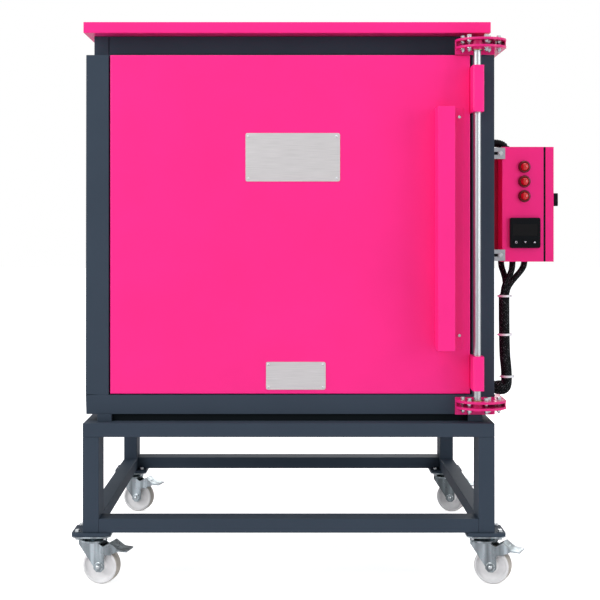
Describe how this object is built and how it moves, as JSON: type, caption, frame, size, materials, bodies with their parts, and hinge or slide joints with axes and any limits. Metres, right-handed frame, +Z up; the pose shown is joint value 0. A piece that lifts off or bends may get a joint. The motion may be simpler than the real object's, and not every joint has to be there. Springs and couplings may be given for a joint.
{
  "type": "ceramic kiln",
  "caption": "Front-loading ceramic kiln with a hinged plug door, brick-lined chamber, side control box and a stand on braked swivel casters.",
  "frame": {"origin": "on the floor under the middle of the object's overall box", "axes": "+X to the right seen from the front, +Y to the back, +Z up"},
  "size_m": [1.1192, 0.904, 1.2375],
  "materials": {
    "pink_paint": "smooth powder coat, semi-gloss",
    "slate_paint": "powder coat, satin",
    "bright_zinc": "bright zinc plating",
    "rod_steel": "polished round bar",
    "bronze": "plain bearing bronze",
    "firebrick": "matt insulating brick",
    "ceramic_fibre": "matt white fibre",
    "white_ceramic": "unglazed ceramic",
    "heating_wire": "dull oxidised wire",
    "black_sleeve": "braided sleeve",
    "tie_plastic": "pale nylon tie",
    "black_plastic": "moulded, satin",
    "lamp_red": "clear red moulding",
    "lamp_ring_red": "dark red moulding",
    "gear_plastic": "grey switching gear",
    "white_nylon": "smooth white nylon"
  },
  "bodies": {
    "kiln": {"stand_legs": "slate_paint", "stand_cross_rails": "slate_paint", "stand_side_rails": "slate_paint", "caster_pads": "slate_paint", "caster_plates": "bright_zinc", "plinth_runners": "slate_paint", "body_frame": "slate_paint", "top_rails": "slate_paint", "door_surround": "slate_paint", "lid_panel": "pink_paint", "side_skins": "pink_paint", "back_skin": "pink_paint", "wool_backing": "ceramic_fibre", "brick_walls": "firebrick", "brick_roof": "firebrick", "brick_hearth": "firebrick", "wall_elements": "heating_wire", "element_terminals": "white_ceramic", "thermocouple": "white_ceramic", "hinge_bracket_top": "pink_paint", "hinge_bracket_low": "pink_paint", "hinge_bushes": "bronze", "box_standoff": "pink_paint", "box_brackets": "bright_zinc", "box_shell": "pink_paint", "mounting_plate": "bright_zinc", "contactors": "gear_plastic", "lamp_bezels": "lamp_ring_red", "lamp_lenses": "lamp_red", "controller_case": "black_plastic", "cable_glands": "black_plastic", "cable_loom": "black_sleeve", "cable_ties": "tie_plastic", "sensor_conduit": "black_sleeve"},
    "door": {"door_shell": "pink_paint", "door_board": "ceramic_fibre", "door_plug": "firebrick", "door_seal": "ceramic_fibre", "door_element": "heating_wire", "terminal_cover": "pink_paint", "door_knuckles": "pink_paint", "hinge_rod": "rod_steel"},
    "box_door": {"box_door": "pink_paint"},
    "box_lock": {"box_lock": "black_plastic"},
    "key_set": {"key_set": "black_plastic"},
    "key_down": {"key_down": "black_plastic"},
    "key_up": {"key_up": "black_plastic"},
    "caster_fork_front_left": {"caster_fork_front_left": "bright_zinc"},
    "caster_wheel_front_left": {"caster_wheel_front_left": "white_nylon"},
    "caster_pedal_front_left": {"caster_pedal_front_left": "bright_zinc"},
    "caster_fork_front_right": {"caster_fork_front_right": "bright_zinc"},
    "caster_wheel_front_right": {"caster_wheel_front_right": "white_nylon"},
    "caster_pedal_front_right": {"caster_pedal_front_right": "bright_zinc"},
    "caster_fork_rear_left": {"caster_fork_rear_left": "bright_zinc"},
    "caster_wheel_rear_left": {"caster_wheel_rear_left": "white_nylon"},
    "caster_pedal_rear_left": {"caster_pedal_rear_left": "bright_zinc"},
    "caster_fork_rear_right": {"caster_fork_rear_right": "bright_zinc"},
    "caster_wheel_rear_right": {"caster_wheel_rear_right": "white_nylon"},
    "caster_pedal_rear_right": {"caster_pedal_rear_right": "bright_zinc"}
  },
  "joints": [
    {"name": "door_swing", "type": "hinge", "parent": "kiln", "child": "door", "pos_m": [0.32567, -0.418, 0.8], "axis": [0, 0, 1], "range_deg": [0, 175]},
    {"name": "box_door_swing", "type": "hinge", "parent": "kiln", "child": "box_door", "pos_m": [0.52668, 0.0929, 0.83765], "axis": [0, 0, 1], "range_deg": [0, 110]},
    {"name": "box_lock_turn", "type": "hinge", "parent": "box_door", "child": "box_lock", "pos_m": [0.54658, -0.113, 0.849], "axis": [-1, 0, 0], "range_deg": [0, 90]},
    {"name": "key_set_press", "type": "slide", "parent": "kiln", "child": "key_set", "axis": [0, 1, 0], "range_m": [0, 0.0008], "stiffness_N_per_m": 600, "springref_m": -0.0004},
    {"name": "key_down_press", "type": "slide", "parent": "kiln", "child": "key_down", "axis": [0, 1, 0], "range_m": [0, 0.0008], "stiffness_N_per_m": 600, "springref_m": -0.0004},
    {"name": "key_up_press", "type": "slide", "parent": "kiln", "child": "key_up", "axis": [0, 1, 0], "range_m": [0, 0.0008], "stiffness_N_per_m": 600, "springref_m": -0.0004},
    {"name": "caster_swivel_front_left", "type": "hinge", "parent": "kiln", "child": "caster_fork_front_left", "pos_m": [-0.51707, -0.3755, 0.093], "axis": [0, 0, 1], "continuous": true},
    {"name": "caster_roll_front_left", "type": "hinge", "parent": "caster_fork_front_left", "child": "caster_wheel_front_left", "pos_m": [-0.49759, -0.38, 0.04], "axis": [0.225, 0.9744, 0], "continuous": true},
    {"name": "caster_brake_front_left", "type": "hinge", "parent": "caster_fork_front_left", "child": "caster_pedal_front_left", "pos_m": [-0.48492, -0.38292, 0.074], "axis": [0.225, 0.9744, 0], "range_deg": [0, 10]},
    {"name": "caster_swivel_front_right", "type": "hinge", "parent": "kiln", "child": "caster_fork_front_right", "pos_m": [0.34642, -0.3755, 0.093], "axis": [0, 0, 1], "continuous": true},
    {"name": "caster_roll_front_right", "type": "hinge", "parent": "caster_fork_front_right", "child": "caster_wheel_front_right", "pos_m": [0.36497, -0.38299, 0.04], "axis": [0.3746, 0.9272, 0], "continuous": true},
    {"name": "caster_brake_front_right", "type": "hinge", "parent": "caster_fork_front_right", "child": "caster_pedal_front_right", "pos_m": [0.37702, -0.38786, 0.074], "axis": [0.3746, 0.9272, 0], "range_deg": [0, 10]},
    {"name": "caster_swivel_rear_left", "type": "hinge", "parent": "kiln", "child": "caster_fork_rear_left", "pos_m": [-0.51707, 0.3945, 0.093], "axis": [0, 0, 1], "continuous": true},
    {"name": "caster_roll_rear_left", "type": "hinge", "parent": "caster_fork_rear_left", "child": "caster_wheel_rear_left", "pos_m": [-0.49759, 0.39, 0.04], "axis": [0.225, 0.9744, 0], "continuous": true},
    {"name": "caster_brake_rear_left", "type": "hinge", "parent": "caster_fork_rear_left", "child": "caster_pedal_rear_left", "pos_m": [-0.48492, 0.38708, 0.074], "axis": [0.225, 0.9744, 0], "range_deg": [0, 10]},
    {"name": "caster_swivel_rear_right", "type": "hinge", "parent": "kiln", "child": "caster_fork_rear_right", "pos_m": [0.34642, 0.3945, 0.093], "axis": [0, 0, 1], "continuous": true},
    {"name": "caster_roll_rear_right", "type": "hinge", "parent": "caster_fork_rear_right", "child": "caster_wheel_rear_right", "pos_m": [0.36497, 0.38701, 0.04], "axis": [0.3746, 0.9272, 0], "continuous": true},
    {"name": "caster_brake_rear_right", "type": "hinge", "parent": "caster_fork_rear_right", "child": "caster_pedal_rear_right", "pos_m": [0.37702, 0.38214, 0.074], "axis": [0.3746, 0.9272, 0], "range_deg": [0, 10]}
  ]
}
